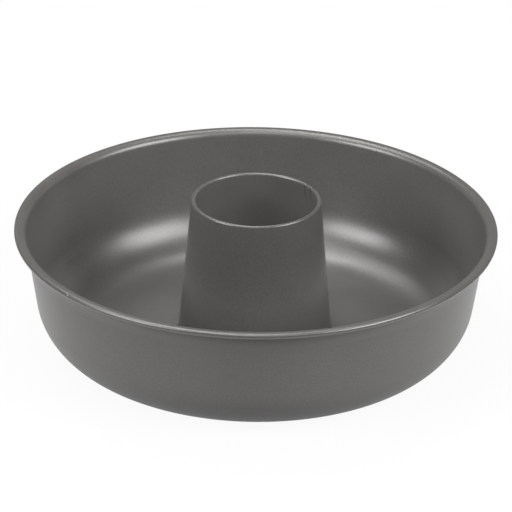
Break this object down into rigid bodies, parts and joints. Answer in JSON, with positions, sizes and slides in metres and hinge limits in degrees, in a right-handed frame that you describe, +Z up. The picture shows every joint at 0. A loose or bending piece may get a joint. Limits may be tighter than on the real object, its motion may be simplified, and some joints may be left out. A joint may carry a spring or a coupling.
{
  "type": "savarin mould",
  "caption": "Round ring-shaped baking mould in dark coated steel: a deep pan with a rolled rim and a coved base, and a tapered tube crimped into its middle.",
  "frame": {"origin": "on the table, under the middle of the pan", "axes": "+Z up along the axis of the pan and the tube, +X to the right and +Y away from the viewer in the picture"},
  "size_m": [0.26, 0.26, 0.0833],
  "materials": {
    "pan_coating": "satin dark grey non-stick coating with a fine speckle, on drawn steel",
    "tube_coating": "satin dark grey non-stick coating with a fine speckle, on rolled steel"
  },
  "bodies": {
    "root": {"ring_pan": "pan_coating", "centre_tube": "tube_coating"}
  },
  "joints": []
}
